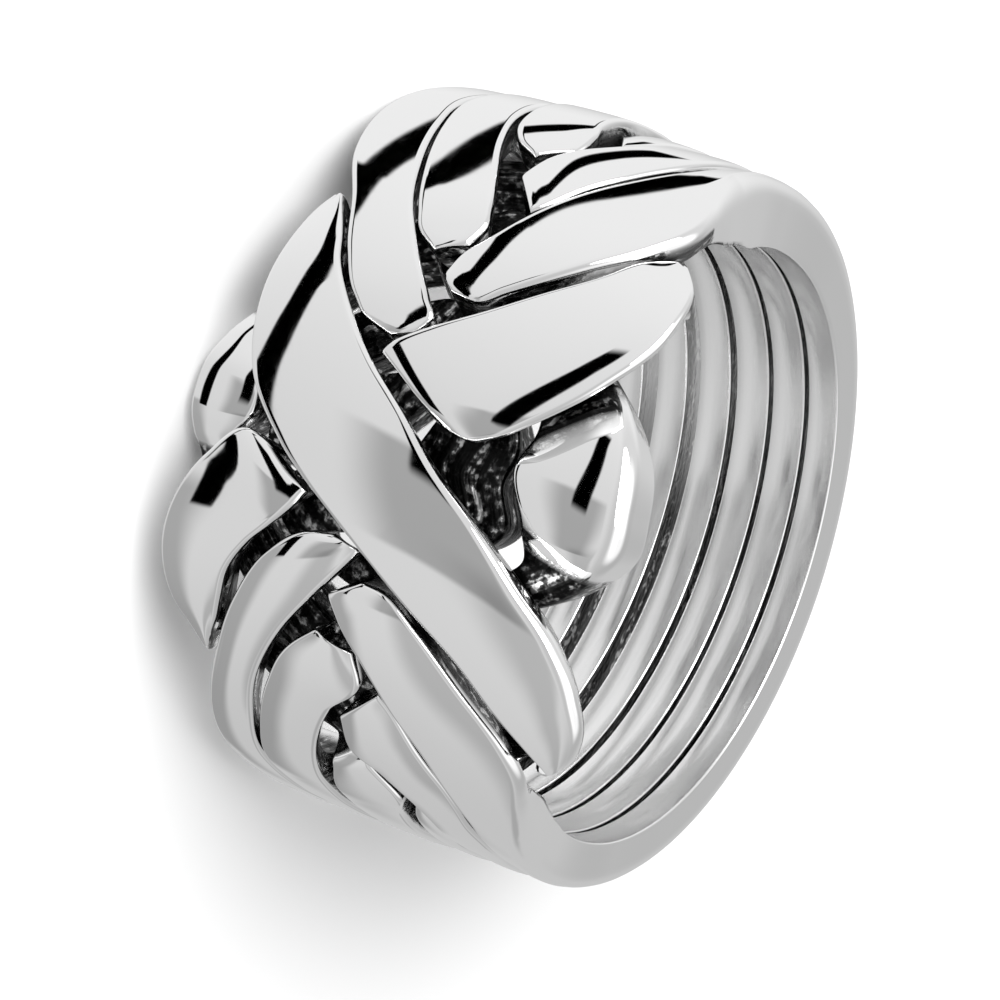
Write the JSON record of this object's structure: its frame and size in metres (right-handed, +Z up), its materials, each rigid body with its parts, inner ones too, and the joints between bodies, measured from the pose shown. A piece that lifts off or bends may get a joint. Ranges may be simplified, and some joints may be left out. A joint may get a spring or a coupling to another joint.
{
  "type": "puzzle ring",
  "caption": "Silver puzzle ring: separate wavy bands interlock in a raised woven head and run side by side round the back of the finger.",
  "frame": {"origin": "middle of the ring's bounding box on the surface that it lies on", "axes": "+Z up off the surface; the finger hole's axis leans 9 degrees back from +Z; -Y is the woven head's side, +Y the back of the shank; +X is the right shoulder seen from the head"},
  "size_m": [0.0218, 0.0234, 0.0145],
  "materials": {
    "polished_silver": "mirror polish on top, darkened rough metal in the recesses"
  },
  "bodies": {
    "root": {"band_1": "polished_silver", "band_2": "polished_silver", "band_3": "polished_silver", "band_4": "polished_silver", "band_5": "polished_silver", "band_6": "polished_silver"}
  },
  "joints": []
}
